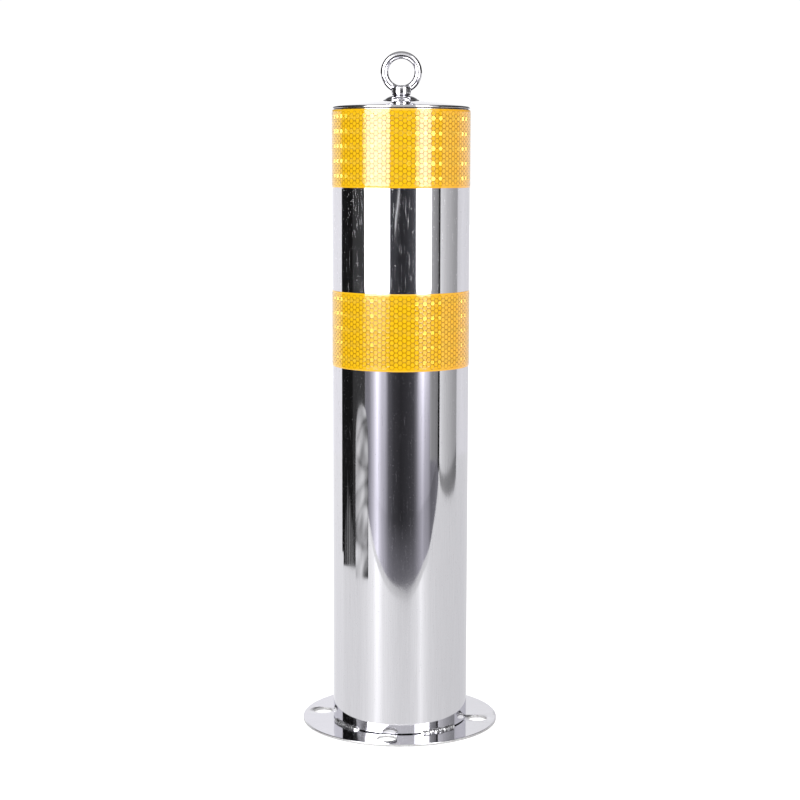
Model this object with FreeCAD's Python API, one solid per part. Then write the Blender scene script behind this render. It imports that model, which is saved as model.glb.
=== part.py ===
import FreeCAD, Part
import math
import os

# Surface-mounted stainless bollard with two reflective bands and a screwed lifting eye.
# Millimetres. Origin at the centre of the flange's underside, +Z up, -Y is the front.

# Post tube
TUBE_RADIUS = 55.0
TUBE_WALL = 1.5
POST_HEIGHT = 500.0

# Base flange
FLANGE_RADIUS = 80.0
FLANGE_THICKNESS = 2.0
FLANGE_EDGE_BREAK = 0.3
BOLT_CIRCLE_RADIUS = 65.0
BOLT_HOLE_RADIUS = 8.0
BOLT_COUNT = 4
BOLT_PHASE = -9.3
DRAIN_HOLE_RADIUS = 6.0

# Weld beads at the foot of the tube, midway between the bolt holes
FOOT_BEAD_LEG = 3.4
FOOT_BEAD_BULGE = 0.6
FOOT_BEAD_ARC = 36.0

# Reflective bands: film wrapped round the tube, its ends overlapping at the back
BAND_WIDTH = 61.0
BAND_FILM = 0.45
BAND_BOTTOMS = {"upper": 438.0, "lower": 295.0}
BAND_OVERLAP = 9.0
BAND_SEAM = 90.0

# Pressed cap: spherical dome, rounded shoulder and a flat land for the eye
CAP_SHEET = 1.2
CAP_RIM_HEIGHT = 0.5
CAP_SHOULDER_RADIUS = 1.5
CAP_DOME_RADIUS = 310.0
CAP_LAND_RADIUS = 15.5
JOINT_CHAMFER = 0.35

# Ring welded inside the cap, plugged into the tube's bore
SPIGOT_WALL = 1.5
SPIGOT_DEPTH = 14.0
SPIGOT_LEAD_IN = 0.8
INNER_BEAD_BULGE = 0.2
SPIGOT_BEADS = 6
SPIGOT_BEAD_ARC = 10.0
SPIGOT_BEAD_LEG = 2.5

# Doubler plate under the land, and the nut welded to it
DOUBLER_RADIUS = 14.5
DOUBLER_THICKNESS = 2.0
DOUBLER_BEADS = 4
DOUBLER_BEAD_PHASE = 45.0
DOUBLER_BEAD_ARC = 26.0
DOUBLER_BEAD_LEG = 1.8
CLEARANCE_HOLE_RADIUS = 4.5
NUT_FLATS = 13.0
NUT_HEIGHT = 6.5
NUT_MOUTH = 0.3
NUT_BEADS = 3
NUT_BEAD_LENGTH = 5.0
NUT_BEAD_LEG = 1.8

# M8 thread: depth is that of the ridge above the shank's core
THREAD_RADIUS = 3.95
THREAD_PITCH = 1.25
THREAD_DEPTH = 0.70
THREAD_FLANK = 30.0
THREAD_GAP = 0.16
RIDGE_HALF_WIDTH = 0.40
RIDGE_SINK = 0.15

# Lifting eye: ring, collar and threaded shank
EYE_OUTER_RADIUS = 16.5
EYE_INNER_RADIUS = 10.4
EYE_CENTRE_ABOVE_SEAT = 18.8
COLLAR_RADIUS = 7.8
COLLAR_HEIGHT = 8.4
COLLAR_TOP_ROUND = 2.4
COLLAR_FOOT_ROUND = 0.8
SHANK_LENGTH = 15.0
SHANK_PLAIN = 2.5
SHANK_TIP_CHAMFER = 0.8

# Domed cup washer under the collar, and its rubber seal
ROSETTE_RADIUS = 14.5
ROSETTE_HEIGHT = 3.9
ROSETTE_SHEET = 1.2
ROSETTE_SEAT_RADIUS = 8.6
ROSETTE_HOLE_RADIUS = 4.25
ROSETTE_EDGE = 0.5
ROSETTE_BOW = 0.6
SEAL_RADIUS = 9.6
SEAL_HOLE_RADIUS = 4.2

AXIS = FreeCAD.Vector(0, 0, 1)
ORIGIN = FreeCAD.Vector(0, 0, 0)
FULL_TURN = 360.0
HEX_HALF_STEP = 30.0
QUARTER_ARC_BOW = 1 - math.sqrt(0.5)


# ---- helpers --------------------------------------------------------------------------

def point(radius, height):
    """A point of a turned profile, in the XZ plane."""
    return FreeCAD.Vector(radius, 0, height)


def line(start, end):
    return Part.LineSegment(point(*start), point(*end)).toShape()


def arc(start, middle, end):
    return Part.Arc(point(*start), point(*middle), point(*end)).toShape()


def bowed(start, end, bow):
    """Arc between two points of a profile, its middle pushed to the left of the way by bow."""
    run = end[0] - start[0]
    rise = end[1] - start[1]
    chord = math.hypot(run, rise)
    middle = ((start[0] + end[0]) / 2 - bow * rise / chord, (start[1] + end[1]) / 2 + bow * run / chord)
    return arc(start, middle, end)


def turned(edges, degrees=FULL_TURN):
    """Solid of revolution about the Z axis of a closed profile of edges."""
    face = Part.Face(Part.Wire(edges))
    return face.revolve(ORIGIN, AXIS, degrees)


def turned_polygon(corners, degrees=FULL_TURN):
    closed = list(corners) + [corners[0]]
    edges = [line(a, b) for a, b in zip(closed, closed[1:])]
    return turned(edges, degrees)


def spun(shape, degrees):
    """A copy of the shape turned about the Z axis."""
    copy = shape.copy()
    copy.rotate(ORIGIN, AXIS, degrees)
    return copy


def ring_of(shape, count, phase=0.0):
    """Copies of the shape spread evenly round the Z axis, as one group of solids."""
    return Part.makeCompound([spun(shape, phase + FULL_TURN * i / count) for i in range(count)])


def cylinder(radius, low, high, x=0.0, y=0.0):
    return Part.makeCylinder(radius, high - low, FreeCAD.Vector(x, y, low), AXIS)


def save(name, shape):
    shape.exportStep(os.path.join("parts", name + ".step"))


# ---- cap skin, which several parts share ----------------------------------------------

SHOULDER_X = TUBE_RADIUS - CAP_SHOULDER_RADIUS
SHOULDER_Z = POST_HEIGHT + CAP_RIM_HEIGHT
DOME_CENTRE_Z = SHOULDER_Z - math.sqrt((CAP_DOME_RADIUS - CAP_SHOULDER_RADIUS) ** 2 - SHOULDER_X ** 2)
DOME_SLOPE = math.asin(SHOULDER_X / (CAP_DOME_RADIUS - CAP_SHOULDER_RADIUS))
LAND_TOP = DOME_CENTRE_Z + math.sqrt(CAP_DOME_RADIUS ** 2 - CAP_LAND_RADIUS ** 2)
LAND_UNDERSIDE = LAND_TOP - CAP_SHEET
NUT_TOP = LAND_UNDERSIDE - DOUBLER_THICKNESS
NUT_UNDERSIDE = NUT_TOP - NUT_HEIGHT
SEAT_HEIGHT = LAND_TOP + ROSETTE_HEIGHT


def under_cap_skin(offset, bottom):
    """Solid bounded above by the cap's skin moved inwards by offset.

    The skin is an upright rim, a shoulder arc tangent to it, a spherical dome tangent to
    the shoulder, and a flat land at the crown.
    """
    rim = TUBE_RADIUS - offset
    shoulder = CAP_SHOULDER_RADIUS - offset
    sphere = CAP_DOME_RADIUS - offset
    land_z = LAND_TOP - offset
    land = math.sqrt(sphere ** 2 - (land_z - DOME_CENTRE_Z) ** 2)

    def on_shoulder(angle):
        return (SHOULDER_X + shoulder * math.sin(angle), SHOULDER_Z + shoulder * math.cos(angle))

    def on_dome(radius):
        return (radius, DOME_CENTRE_Z + math.sqrt(sphere ** 2 - radius ** 2))

    rim_top = (rim, SHOULDER_Z)
    shoulder_middle = on_shoulder((DOME_SLOPE + math.pi / 2) / 2)
    dome_foot = on_shoulder(DOME_SLOPE)
    dome_middle = on_dome((dome_foot[0] + land) / 2)
    land_edge = (land, land_z)
    return turned([
        line((0, bottom), (rim, bottom)),
        line((rim, bottom), rim_top),
        arc(rim_top, shoulder_middle, dome_foot),
        arc(dome_foot, dome_middle, land_edge),
        line(land_edge, (0, land_z)),
        line((0, land_z), (0, bottom)),
    ])


def cap_hollow(bottom):
    """The room under the cap's sheet, down to the height bottom."""
    return under_cap_skin(CAP_SHEET, bottom)


# ---- thread ---------------------------------------------------------------------------

def thread_ridge(root, crest, bottom, top):
    """Helical ridge of 60 degree flanks, sunk a little into the core so that they join."""
    flank = math.tan(math.radians(THREAD_FLANK))
    inner = root - RIDGE_SINK
    wide = THREAD_PITCH * RIDGE_HALF_WIDTH + RIDGE_SINK * flank
    narrow = wide - (crest - inner) * flank
    helix = Part.makeHelix(THREAD_PITCH, top - bottom, root)
    helix.translate(FreeCAD.Vector(0, 0, bottom))
    corners = [
        FreeCAD.Vector(inner, 0, bottom - wide),
        FreeCAD.Vector(crest, 0, bottom - narrow),
        FreeCAD.Vector(crest, 0, bottom + narrow),
        FreeCAD.Vector(inner, 0, bottom + wide),
    ]
    profile = Part.makePolygon(corners + [corners[0]])
    return Part.Wire(helix).makePipeShell([profile], True, True)


def threaded_rod(crest, bottom, top):
    """Core and ridge of a thread, cut square at bottom and top.

    Every helix starts a whole number of turns from the nut's top, so that mating threads mesh.
    """
    root = crest - THREAD_DEPTH
    turns_up = math.floor((bottom - NUT_TOP) / THREAD_PITCH) - 1
    start = NUT_TOP + turns_up * THREAD_PITCH
    ridge = thread_ridge(root, crest, start, top + THREAD_PITCH)
    rod = cylinder(root, bottom - 2 * THREAD_PITCH, top + 2 * THREAD_PITCH).fuse(ridge)
    return rod.common(cylinder(crest + 1.0, bottom, top))


# ---- parts ----------------------------------------------------------------------------

def base_flange():
    plate = cylinder(FLANGE_RADIUS, 0, FLANGE_THICKNESS)
    plate = plate.makeChamfer(FLANGE_EDGE_BREAK, [e for e in plate.Edges if e.Closed])
    for i in range(BOLT_COUNT):
        angle = math.radians(BOLT_PHASE + FULL_TURN * i / BOLT_COUNT)
        x = BOLT_CIRCLE_RADIUS * math.cos(angle)
        y = BOLT_CIRCLE_RADIUS * math.sin(angle)
        plate = plate.cut(cylinder(BOLT_HOLE_RADIUS, -1, FLANGE_THICKNESS + 1, x, y))
    return plate.cut(cylinder(DRAIN_HOLE_RADIUS, -1, FLANGE_THICKNESS + 1))


def post_tube():
    inner = TUBE_RADIUS - TUBE_WALL
    return turned_polygon([
        (inner, FLANGE_THICKNESS),
        (TUBE_RADIUS, FLANGE_THICKNESS),
        (TUBE_RADIUS, POST_HEIGHT - JOINT_CHAMFER),
        (TUBE_RADIUS - JOINT_CHAMFER, POST_HEIGHT),
        (inner, POST_HEIGHT),
    ])


def fillet_bead(corner, leg, bulge, degrees, outward=1, upward=1):
    """One weld bead in the corner between an upright wall and a flat face."""
    x, z = corner
    foot = (x + outward * leg, z)
    head = (x, z + upward * leg)
    crown = (x + outward * (leg / 2 + bulge), z + upward * (leg / 2 + bulge))
    bead = turned([line(corner, foot), arc(foot, crown, head), line(head, corner)], degrees)
    return spun(bead, -degrees / 2)


def base_weld_beads():
    bead = fillet_bead((TUBE_RADIUS, FLANGE_THICKNESS), FOOT_BEAD_LEG, FOOT_BEAD_BULGE, FOOT_BEAD_ARC)
    half_step = FULL_TURN / BOLT_COUNT / 2
    return ring_of(bead, BOLT_COUNT, BOLT_PHASE - half_step)


def reflective_band(bottom):
    top = bottom + BAND_WIDTH
    outer = TUBE_RADIUS + BAND_FILM
    film = cylinder(outer, bottom, top).cut(cylinder(TUBE_RADIUS, bottom - 1, top + 1))
    overlap = turned_polygon([
        (outer - BAND_FILM / 2, bottom),
        (outer + BAND_FILM, bottom),
        (outer + BAND_FILM, top),
        (outer - BAND_FILM / 2, top),
    ], math.degrees(BAND_OVERLAP / outer))
    return film.fuse(spun(overlap, BAND_SEAM)).removeSplitter()


def top_cap():
    shell = under_cap_skin(0.0, POST_HEIGHT).cut(cap_hollow(POST_HEIGHT - 1))
    shell = shell.cut(cylinder(CLEARANCE_HOLE_RADIUS, LAND_UNDERSIDE - 1, LAND_TOP + 1))
    groove = turned_polygon([
        (TUBE_RADIUS - JOINT_CHAMFER, POST_HEIGHT - 1),
        (TUBE_RADIUS + 1, POST_HEIGHT - 1),
        (TUBE_RADIUS + 1, POST_HEIGHT + JOINT_CHAMFER + 1),
        (TUBE_RADIUS, POST_HEIGHT + JOINT_CHAMFER),
        (TUBE_RADIUS - JOINT_CHAMFER, POST_HEIGHT),
    ])
    return shell.cut(groove)


def cap_spigot_ring():
    outer = TUBE_RADIUS - TUBE_WALL
    bottom = POST_HEIGHT - SPIGOT_DEPTH
    ring = turned_polygon([
        (outer - SPIGOT_WALL, bottom),
        (outer - SPIGOT_LEAD_IN, bottom),
        (outer, bottom + 2 * SPIGOT_LEAD_IN),
        (outer, LAND_TOP),
        (outer - SPIGOT_WALL, LAND_TOP),
    ])
    return ring.common(cap_hollow(bottom - 1))


def cap_ring_welds():
    wall = TUBE_RADIUS - TUBE_WALL - SPIGOT_WALL
    bead = fillet_bead((wall, SHOULDER_Z + CAP_SHOULDER_RADIUS), SPIGOT_BEAD_LEG + CAP_SHEET,
                       INNER_BEAD_BULGE, SPIGOT_BEAD_ARC, outward=-1, upward=-1)
    bead = bead.common(cap_hollow(POST_HEIGHT - SPIGOT_DEPTH))
    return ring_of(bead, SPIGOT_BEADS, BOLT_PHASE)


def cap_doubler_plate():
    bottom = LAND_UNDERSIDE - DOUBLER_THICKNESS
    return cylinder(DOUBLER_RADIUS, bottom, LAND_UNDERSIDE).cut(
        cylinder(CLEARANCE_HOLE_RADIUS, bottom - 1, LAND_UNDERSIDE + 1))


def doubler_tack_welds():
    bead = fillet_bead((DOUBLER_RADIUS, LAND_UNDERSIDE), DOUBLER_BEAD_LEG, INNER_BEAD_BULGE,
                       DOUBLER_BEAD_ARC, upward=-1)
    bead = bead.common(cap_hollow(NUT_UNDERSIDE))
    return ring_of(bead, DOUBLER_BEADS, DOUBLER_BEAD_PHASE)


def hex_nut():
    """Nut with its lower corners chamfered and a threaded bore, open at both ends."""
    slope = math.radians(HEX_HALF_STEP)
    flat = NUT_FLATS / 2
    reach = flat / math.cos(slope)
    corners = []
    for i in range(6):
        angle = 2 * slope * i
        corners.append(FreeCAD.Vector(reach * math.cos(angle), reach * math.sin(angle), NUT_UNDERSIDE))
    prism = Part.Face(Part.makePolygon(corners + [corners[0]])).extrude(AXIS * NUT_HEIGHT)
    chamfered = turned_polygon([
        (0, NUT_UNDERSIDE),
        (flat, NUT_UNDERSIDE),
        (reach, NUT_UNDERSIDE + (reach - flat) * math.tan(slope)),
        (reach, NUT_TOP),
        (0, NUT_TOP),
    ])
    crest = THREAD_RADIUS + THREAD_GAP
    tap = threaded_rod(crest, NUT_UNDERSIDE - THREAD_PITCH, NUT_TOP + THREAD_PITCH)
    mouth = Part.makeCone(crest + NUT_MOUTH, crest - THREAD_DEPTH, THREAD_DEPTH + NUT_MOUTH,
                          FreeCAD.Vector(0, 0, NUT_UNDERSIDE), AXIS)
    return prism.common(chamfered).cut(tap).cut(mouth)


def nut_tack_welds():
    """Straight fillets on alternate flats, where the nut meets the doubler."""
    start = FreeCAD.Vector(NUT_FLATS / 2, -NUT_BEAD_LENGTH / 2, NUT_TOP)
    corners = [start, start + FreeCAD.Vector(NUT_BEAD_LEG, 0, 0), start - AXIS * NUT_BEAD_LEG]
    section = Part.Face(Part.makePolygon(corners + [start]))
    bead = section.extrude(FreeCAD.Vector(0, NUT_BEAD_LENGTH, 0))
    return ring_of(bead, NUT_BEADS, HEX_HALF_STEP)


def rounded_collar():
    """Round collar under the ring, its foot and its top edge rounded."""
    seat = SEAT_HEIGHT
    top = seat + COLLAR_HEIGHT
    foot = (COLLAR_RADIUS - COLLAR_FOOT_ROUND, seat)
    side_low = (COLLAR_RADIUS, seat + COLLAR_FOOT_ROUND)
    side_high = (COLLAR_RADIUS, top - COLLAR_TOP_ROUND)
    rim = (COLLAR_RADIUS - COLLAR_TOP_ROUND, top)
    return turned([
        line((0, seat), foot),
        bowed(foot, side_low, -COLLAR_FOOT_ROUND * QUARTER_ARC_BOW),
        line(side_low, side_high),
        bowed(side_high, rim, -COLLAR_TOP_ROUND * QUARTER_ARC_BOW),
        line(rim, (0, top)),
        line((0, top), (0, seat)),
    ])


def pointed_shank():
    """Threaded shank with a chamfered tip, and its plain neck up into the collar."""
    tip = SEAT_HEIGHT - SHANK_LENGTH
    thread_end = SEAT_HEIGHT - SHANK_PLAIN
    beyond = 1.0
    envelope = turned_polygon([
        (0, tip - beyond),
        (THREAD_RADIUS - SHANK_TIP_CHAMFER, tip - beyond),
        (THREAD_RADIUS - SHANK_TIP_CHAMFER, tip),
        (THREAD_RADIUS + beyond, tip + SHANK_TIP_CHAMFER + beyond),
        (THREAD_RADIUS + beyond, SEAT_HEIGHT),
        (0, SEAT_HEIGHT),
    ])
    neck = cylinder(THREAD_RADIUS - THREAD_DEPTH, thread_end - beyond, SEAT_HEIGHT + beyond)
    return [neck, threaded_rod(THREAD_RADIUS, tip, thread_end).common(envelope)]


def eye_bolt():
    centre = FreeCAD.Vector(0, 0, SEAT_HEIGHT + EYE_CENTRE_ABOVE_SEAT)
    middle = (EYE_OUTER_RADIUS + EYE_INNER_RADIUS) / 2
    section = (EYE_OUTER_RADIUS - EYE_INNER_RADIUS) / 2
    ring = Part.makeTorus(middle, section, centre, FreeCAD.Vector(0, 1, 0))
    return ring.fuse([rounded_collar()] + pointed_shank())


def eye_rosette():
    """Cup washer: a domed sheet from its flat seat down to its rim."""
    seat = SEAT_HEIGHT
    inside = seat - ROSETTE_SHEET
    rim = LAND_TOP
    rim_top = (ROSETTE_RADIUS, rim + ROSETTE_EDGE)
    rim_inside = (ROSETTE_RADIUS - ROSETTE_SHEET, rim)
    return turned([
        line((ROSETTE_HOLE_RADIUS, inside), (ROSETTE_HOLE_RADIUS, seat)),
        line((ROSETTE_HOLE_RADIUS, seat), (ROSETTE_SEAT_RADIUS, seat)),
        bowed((ROSETTE_SEAT_RADIUS, seat), rim_top, ROSETTE_BOW),
        line(rim_top, (ROSETTE_RADIUS, rim)),
        line((ROSETTE_RADIUS, rim), rim_inside),
        bowed(rim_inside, (ROSETTE_SEAT_RADIUS, inside), -ROSETTE_BOW),
        line((ROSETTE_SEAT_RADIUS, inside), (ROSETTE_HOLE_RADIUS, inside)),
    ])


def rosette_seal():
    """Rubber bush filling the cup washer's hollow round the shank."""
    top = SEAT_HEIGHT - ROSETTE_SHEET
    return turned_polygon([
        (SEAL_HOLE_RADIUS, LAND_TOP),
        (SEAL_RADIUS, LAND_TOP),
        (ROSETTE_SEAT_RADIUS, top),
        (SEAL_HOLE_RADIUS, top),
    ])


PARTS = {
    "base_flange": base_flange,
    "base_weld_beads": base_weld_beads,
    "post_tube": post_tube,
    "top_cap": top_cap,
    "cap_spigot_ring": cap_spigot_ring,
    "cap_ring_welds": cap_ring_welds,
    "cap_doubler_plate": cap_doubler_plate,
    "doubler_tack_welds": doubler_tack_welds,
    "hex_nut": hex_nut,
    "nut_tack_welds": nut_tack_welds,
    "eye_bolt": eye_bolt,
    "eye_rosette": eye_rosette,
    "rosette_seal": rosette_seal,
}

os.makedirs("parts", exist_ok=True)
for name, make in PARTS.items():
    save(name, make())
for place, bottom in BAND_BOTTOMS.items():
    save(place + "_reflective_band", reflective_band(bottom))
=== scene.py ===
import math

import bmesh
import bpy
import numpy as np
from mathutils import Matrix, Vector, noise


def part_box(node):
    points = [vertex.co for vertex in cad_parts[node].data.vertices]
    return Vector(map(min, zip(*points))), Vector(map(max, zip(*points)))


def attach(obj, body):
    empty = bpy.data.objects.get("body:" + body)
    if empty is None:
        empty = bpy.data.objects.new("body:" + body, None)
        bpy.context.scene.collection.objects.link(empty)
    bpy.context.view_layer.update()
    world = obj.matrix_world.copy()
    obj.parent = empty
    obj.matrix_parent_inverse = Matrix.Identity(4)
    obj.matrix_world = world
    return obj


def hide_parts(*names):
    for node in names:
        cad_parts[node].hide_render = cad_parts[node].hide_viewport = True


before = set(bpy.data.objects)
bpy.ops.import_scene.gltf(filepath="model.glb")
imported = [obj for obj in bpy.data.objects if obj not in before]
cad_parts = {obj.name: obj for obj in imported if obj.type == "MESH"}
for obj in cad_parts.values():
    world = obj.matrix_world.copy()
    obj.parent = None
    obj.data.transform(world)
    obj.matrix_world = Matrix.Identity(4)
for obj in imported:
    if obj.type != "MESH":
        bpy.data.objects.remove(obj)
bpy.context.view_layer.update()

# Looks of a surface-mounted stainless bollard, in metres, in the frame of the CAD model:
# +Z is up and -Y is the front. Heights are read from the CAD nodes' boxes.

MM = 0.001
FULL = 2 * math.pi

# Tube and flange
TUBE_RADIUS = 55.0 * MM
TUBE_WALL = 1.5 * MM
TUBE_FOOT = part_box("post_tube")[0].z
TUBE_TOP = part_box("post_tube")[1].z
TUBE_TOP_EDGE = 0.2 * MM
FLANGE_RADIUS = 79.97 * MM
FLANGE_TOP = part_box("base_flange")[1].z
BOLT_CIRCLE = 65.0 * MM
BOLT_HOLE = 8.0 * MM
DRAIN_HOLE = 6.0 * MM
BOLT_COUNT = 4
BOLT_PHASE = math.radians(-9.3)
FLANGE_RIM = 0.5 * MM
FLANGE_EDGE = 0.3 * MM
BOLT_HOLE_EDGE = 0.22 * MM

# Weld beads at the foot; a ripple's lag and wander are shares of its pitch
BEAD_ARC = math.radians(36.0)
BEAD_LEG = 3.2 * MM
FOOT_GAP = 0.6 * MM
RIPPLE_PITCH = 2.1 * MM
RIPPLE_HEIGHT = 0.28 * MM
RIPPLE_LAG = 0.55
RIPPLE_WANDER = 0.25
LUMP_HEIGHT = 0.35 * MM
BEAD_DIP = 0.5 * MM
BEAD_SINK = 0.1 * MM

# Reflective film
FILM = 0.35 * MM
FILM_MARGIN = 1.6 * MM
CELL_PITCH = 3.85 * MM
CELL_RELIEF = 0.06 * MM
CELLS_PER_TILE = 3
FILM_EDGE = 0.12 * MM
FILM_OVERLAP = 9.0 * MM
FILM_RAMP = 4.0 * MM
FILM_SEAM = math.radians(90.0)
STRIP_CELL = 0.5

# Rings of a prism cell from its wall inwards: size, height as a share of the relief, and cell value
CELL_RINGS = ((1.0, 1.0, 0.0), (0.78, 0.1, 0.42), (0.70, 0.08, 0.60), (0.35, 0.06, 0.85))
CELL_MIDDLE_HEIGHT = 0.1

# Cap
CAP_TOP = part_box("top_cap")[1].z
CAP_LAND = 15.5 * MM
CAP_DOME = 310.0 * MM
CAP_SHOULDER = 1.5 * MM
CAP_RIM = 0.5 * MM
CAP_SHEET = 1.2 * MM
LAND_EDGE = 0.6 * MM
EYE_HOLE = 4.5 * MM
JOINT_EDGE = 0.35 * MM
CAP_GAP = 0.7 * MM

# Eye bolt, cup washer and thread; the thread's foot and flank are shares of its pitch
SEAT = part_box("eye_rosette")[1].z
EYE_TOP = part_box("eye_bolt")[1].z
EYE_OUTER = 16.5 * MM
EYE_INNER = 10.4 * MM
COLLAR_RADIUS = 7.8 * MM
COLLAR_HEIGHT = 8.4 * MM
COLLAR_ROUND = 2.6 * MM
FORGE_BLEND = 0.9 * MM
SHANK_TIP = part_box("eye_bolt")[0].z
NUT_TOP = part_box("hex_nut")[1].z
THREAD_RADIUS = 3.95 * MM
THREAD_DEPTH = 0.70 * MM
THREAD_PITCH = 1.25 * MM
THREAD_FOOT = 0.44
THREAD_FLANK = 0.34
SHANK_PLAIN = 2.5 * MM
SHANK_CHAMFER = 0.8 * MM
SHANK_SINK = 0.6 * MM
ROSETTE_RADIUS = 14.5 * MM
ROSETTE_SEAT = 8.6 * MM
ROSETTE_HOLE = 4.25 * MM
ROSETTE_SHEET = 1.2 * MM
ROSETTE_ROLL = 0.5 * MM
ROSETTE_RIM = 0.9 * MM
ROSETTE_LIP = 1.4 * MM
ROSETTE_BELL = 0.55

# Camera: long lens level with the upper band, looking a little down, as in the product shot
LENS = 82.04
SENSOR = 36.0
CAMERA_PLACE = (-0.0009, -1.4725, 0.4582)
CAMERA_DROP = math.radians(7.44)
CAMERA_ROLL = math.radians(-0.137)

# Studio: heights and distances of the cards that only reflections see
TABLE_FRONT = 0.56
TABLE_REACH = 1.5
TABLE_ROUNDING = 0.05
FLOOR_DEPTH = 0.36
FLAG_TOP = 0.57
CORNER_TOP = 0.66
WALL_TOP = 2.2
SOFTBOX_FOOT = 0.245
SOFTBOX_TOP = 2.0
SOFTBOX_DISTANCE = 1.6
SHADE_DISTANCE = 0.5


# ---- mesh helpers ----------------------------------------------------------------------

def piece_from(bm, name, material, body, nodes, crease=35.0):
    """Makes an object of a bmesh, smooth shaded, that rides on a body and replaces CAD nodes."""
    bmesh.ops.recalc_face_normals(bm, faces=bm.faces)
    mesh = bpy.data.meshes.new(name)
    bm.to_mesh(mesh)
    bm.free()
    return piece_of_mesh(mesh, name, material, body, nodes, crease)


def piece_of_mesh(mesh, name, material, body, nodes, crease=35.0):
    mesh.shade_smooth()
    mesh.set_sharp_from_angle(angle=math.radians(crease))
    mesh.materials.clear()
    mesh.materials.append(material)
    piece = bpy.data.objects.new(name, mesh)
    bpy.context.scene.collection.objects.link(piece)
    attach(piece, body)
    if nodes:
        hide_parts(*nodes)
    return piece


def polar(radius, angle, z):
    return Vector((radius * math.cos(angle), radius * math.sin(angle), z))


def smooth_step(value):
    value = min(1.0, max(0.0, value))
    return value * value * (3 - 2 * value)


def arc_points(centre, radius, start, end, steps):
    """Points of a profile arc, angles in radians from +r towards +z."""
    points = []
    for i in range(steps + 1):
        angle = start + (end - start) * i / steps
        points.append((centre[0] + radius * math.cos(angle), centre[1] + radius * math.sin(angle)))
    return points


def rounded(corners, steps=5, hold_share=0.15):
    """Profile through corners (r, z, rounding radius); each rounded corner becomes an arc.

    A point just past each end of an arc, by a share of its radius, keeps the straight face
    beside it flat in its shading.
    """
    points = []
    count = len(corners)
    for i, (r, z, radius) in enumerate(corners):
        here = Vector((r, z))
        if radius <= 0:
            points.append((r, z))
            continue
        before = (Vector(corners[i - 1][:2]) - here).normalized()
        after = (Vector(corners[(i + 1) % count][:2]) - here).normalized()
        half = before.angle(after) / 2
        back = radius / math.tan(half)
        centre = here + (before + after).normalized() * radius / math.sin(half)
        first = (here + before * back - centre).normalized()
        last = (here + after * back - centre).normalized()
        hold = back + hold_share * radius
        points.append(tuple(here + before * hold))
        for k in range(steps + 1):
            points.append(tuple(centre + radius * first.slerp(last, k / steps)))
        points.append(tuple(here + after * hold))
    return points


def turned(profile, segments=256, closed=True):
    """Surface of revolution about Z of a profile of (r, z) points."""
    on_axis = 1e-7
    bm = bmesh.new()
    rings = []
    for r, z in profile:
        if r < on_axis:
            rings.append([bm.verts.new((0, 0, z))])
            continue
        rings.append([bm.verts.new(polar(r, FULL * k / segments, z)) for k in range(segments)])
    pairs = list(zip(rings, rings[1:]))
    if closed:
        pairs.append((rings[-1], rings[0]))
    for a, b in pairs:
        for k in range(segments):
            corners = [a[k % len(a)], a[(k + 1) % len(a)], b[(k + 1) % len(b)], b[k % len(b)]]
            corners = list(dict.fromkeys(corners))
            if len(corners) > 2:
                bm.faces.new(corners)
    return bm


def evaluated(objects, build):
    """Joins throwaway objects through modifiers set up by build, and returns the result's mesh."""
    for o in objects:
        bpy.context.scene.collection.objects.link(o)
    build(*objects)
    bpy.context.view_layer.update()
    graph = bpy.context.evaluated_depsgraph_get()
    mesh = bpy.data.meshes.new_from_object(objects[0].evaluated_get(graph))
    for o in objects:
        bpy.data.objects.remove(o)
    return mesh


def loose(bm, name):
    """An unlinked object of a bmesh, for use in modifiers."""
    bmesh.ops.recalc_face_normals(bm, faces=bm.faces)
    mesh = bpy.data.meshes.new(name)
    bm.to_mesh(mesh)
    bm.free()
    return bpy.data.objects.new(name, mesh)


# ---- materials -------------------------------------------------------------------------

class Paint:
    """A node material under construction."""

    def __init__(self, name):
        self.material = bpy.data.materials.new(name)
        self.material.use_nodes = True
        self.nodes = self.material.node_tree.nodes
        self.links = self.material.node_tree.links
        self.bsdf = self.nodes["Principled BSDF"]

    def set(self, **values):
        for key, value in values.items():
            self.bsdf.inputs[key.replace("_", " ")].default_value = value

    def add(self, kind, inputs=None, **settings):
        node = self.nodes.new(kind)
        for key, value in settings.items():
            setattr(node, key, value)
        for key, value in (inputs or {}).items():
            if isinstance(value, bpy.types.NodeSocket):
                self.links.new(value, node.inputs[key])
            else:
                node.inputs[key].default_value = value
        return node

    def place(self, stretch=(1, 1, 1)):
        """Object coordinates in metres, scaled per axis."""
        coordinates = self.add("ShaderNodeTexCoord").outputs["Object"]
        return self.add("ShaderNodeMapping", {"Vector": coordinates, "Scale": stretch}).outputs[0]

    def noise(self, scale, stretch=(1, 1, 1), detail=3.0, rough=0.55, twist=0.0):
        return self.add("ShaderNodeTexNoise", {
            "Vector": self.place(stretch), "Scale": scale, "Detail": detail,
            "Roughness": rough, "Distortion": twist}).outputs["Fac"]

    def remap(self, value, low, high, to_low, to_high):
        return self.add("ShaderNodeMapRange", {
            0: value, 1: low, 2: high, 3: to_low, 4: to_high}).outputs[0]

    def maths(self, operation, a, b=0.0):
        return self.add("ShaderNodeMath", {0: a, 1: b}, operation=operation).outputs[0]

    def vector(self, operation, inputs):
        return self.add("ShaderNodeVectorMath", inputs, operation=operation).outputs[0]

    def mix(self, share, a, b):
        return self.add("ShaderNodeMix", {0: share, 6: a, 7: b}, data_type="RGBA").outputs[2]

    def bump(self, height, depth, normal=None, strength=1.0):
        inputs = {"Height": height, "Distance": depth, "Strength": strength}
        if normal is not None:
            inputs["Normal"] = normal
        return self.add("ShaderNodeBump", inputs).outputs[0]

    def wire(self, **sockets):
        for key, value in sockets.items():
            self.links.new(value, self.bsdf.inputs[key.replace("_", " ")])
        return self.material


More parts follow.
